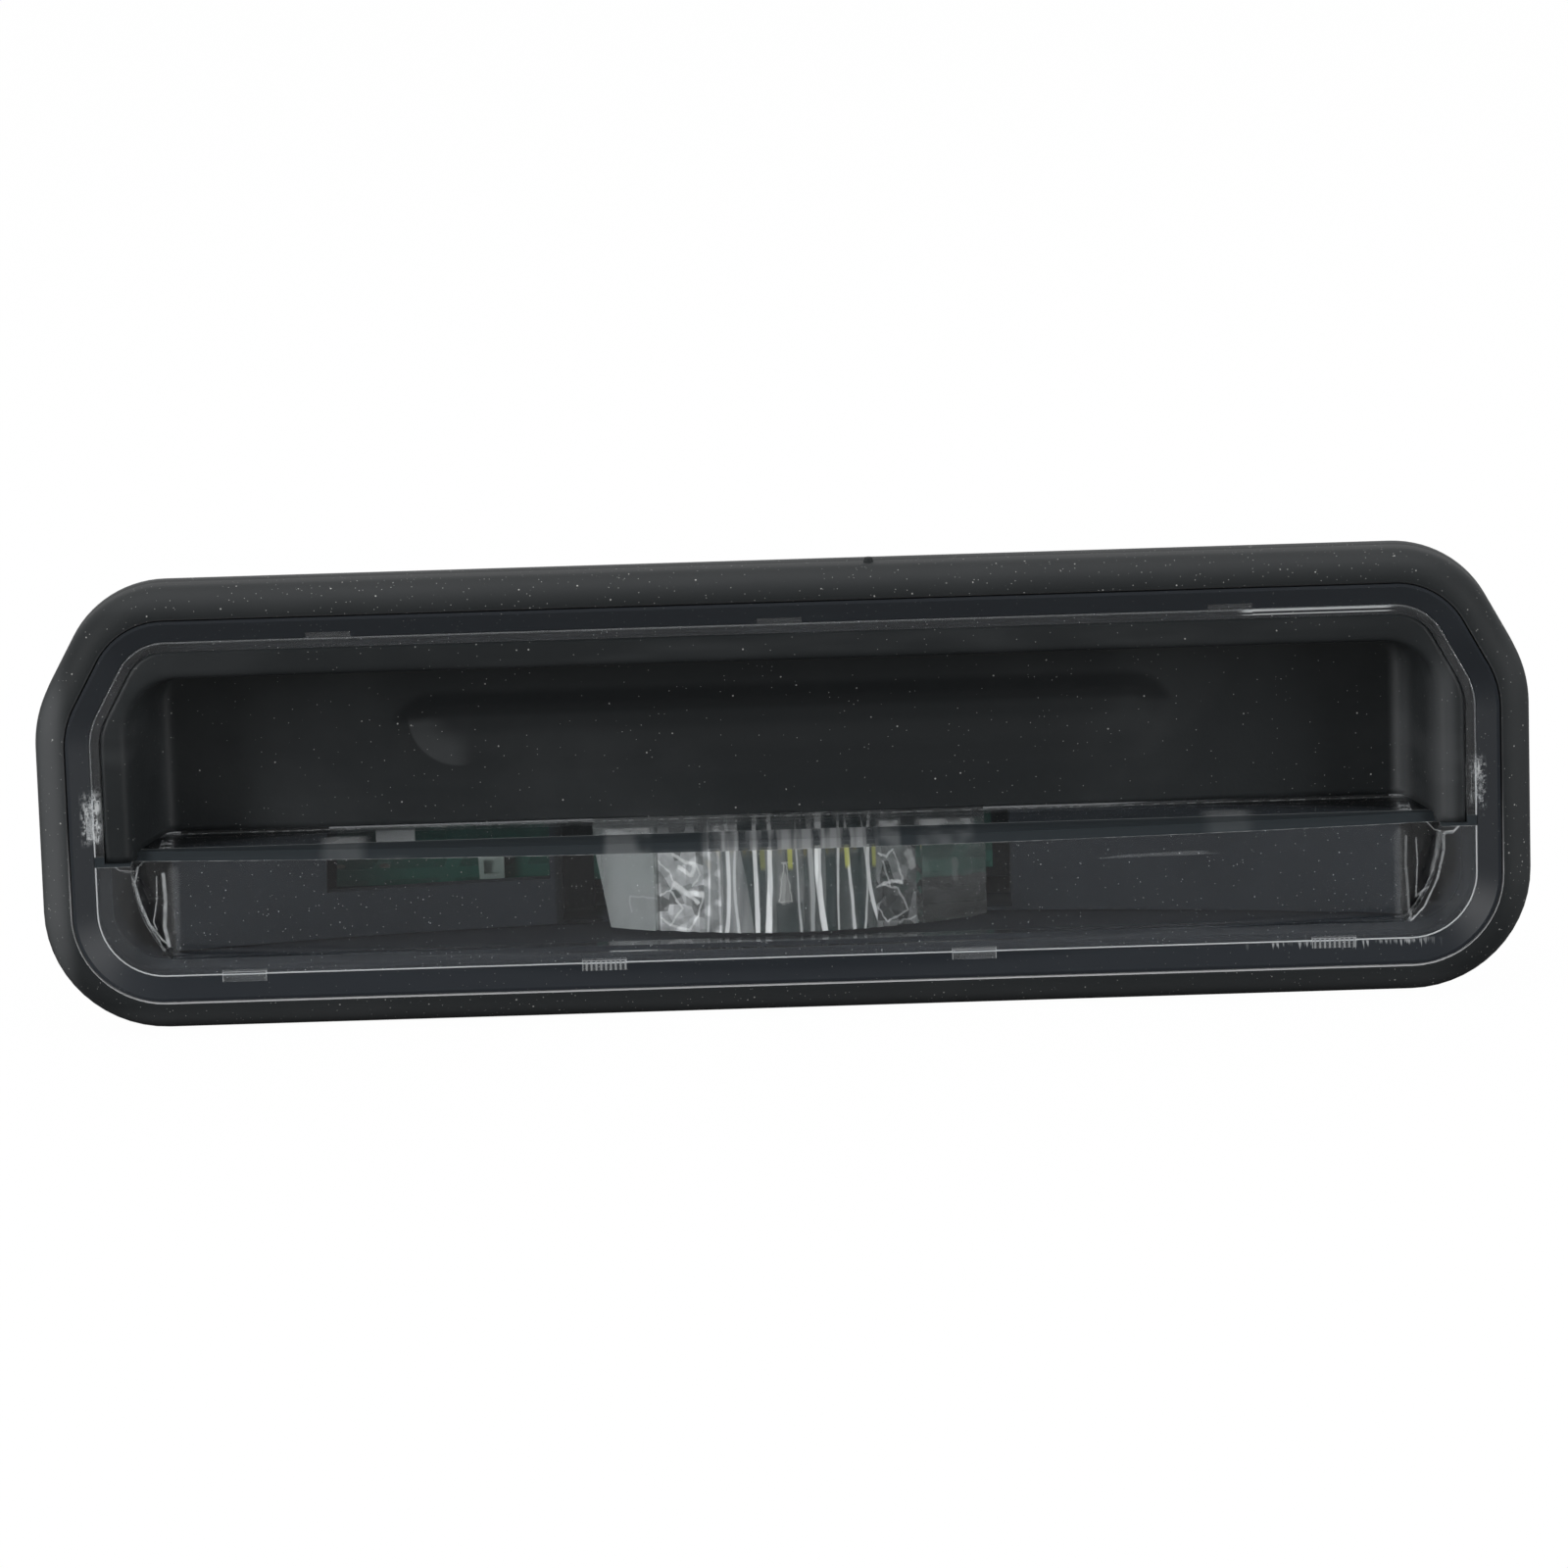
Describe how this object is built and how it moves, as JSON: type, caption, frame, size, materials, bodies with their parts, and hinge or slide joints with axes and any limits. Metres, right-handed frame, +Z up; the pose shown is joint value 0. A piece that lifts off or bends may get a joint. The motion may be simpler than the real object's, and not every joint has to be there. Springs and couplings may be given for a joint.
{
  "type": "number plate lamp",
  "caption": "Oblong number plate lamp with a rubber seal, a clear cover over a fluted light guide, and a rubber-lined finger recess with a press pad",
  "frame": {"origin": "centre of the seal's rear face, on the panel plane", "axes": "X along the length, Z up, the lit front faces -Y and +Y goes into the panel"},
  "size_m": [0.148, 0.041, 0.0452],
  "materials": {
    "black_housing": "dark semi-gloss moulded plastic",
    "seal_rubber": "matte black rubber",
    "clear_cover": "clear moulded plastic",
    "liner_rubber": "matte black soft rubber",
    "black_plate": "matte black plastic",
    "grey_bezel": "dark grey satin plastic",
    "clear_guide": "clear fluted plastic",
    "green_board": "green lacquered board",
    "led_yellow": "white case with yellow front",
    "switch_black": "matte black plastic",
    "switch_red": "matte red-brown plastic",
    "screw_steel": "plain steel",
    "chip_black": "matte black case",
    "white_part": "white plastic case",
    "grey_part": "grey-green square frame",
    "terminal_brass": "plain metal",
    "spring_steel": "bent spring strip"
  },
  "bodies": {
    "unit": {"housing": "black_housing", "seal_gasket": "seal_rubber", "lens_cover": "clear_cover", "finger_pad": "liner_rubber", "lamp_bezel": "grey_bezel", "light_guide": "clear_guide", "circuit_board": "green_board", "led_left": "led_yellow", "led_middle": "led_yellow", "led_right": "led_yellow", "switch_body": "switch_black", "board_screws": "screw_steel", "driver_chip": "chip_black", "filter_capacitor": "white_part", "square_coil": "grey_part", "chip_resistors": "chip_black", "terminal_a": "terminal_brass", "terminal_b": "terminal_brass", "terminal_c": "terminal_brass", "terminal_d": "terminal_brass", "clip_left": "spring_steel", "clip_right": "spring_steel"},
    "pad": {"push_plate": "black_plate"},
    "plunger": {"switch_plunger": "switch_red"}
  },
  "joints": [
    {"name": "pad_press", "type": "hinge", "parent": "unit", "child": "pad", "pos_m": [0, 0.0095, 0.011], "axis": [1, 0, 0], "range_deg": [0, 5], "stiffness_Nm_per_rad": 0.5, "springref_deg": -1.72, "deforming": ["finger_pad"]},
    {"name": "plunger_travel", "type": "slide", "parent": "unit", "child": "plunger", "axis": [0, 1, 0], "range_m": [0, 0.0011]}
  ],
  "couplings": [
    {"joint": "plunger_travel", "follows": "pad_press", "m_per_rad": 0.01145}
  ]
}
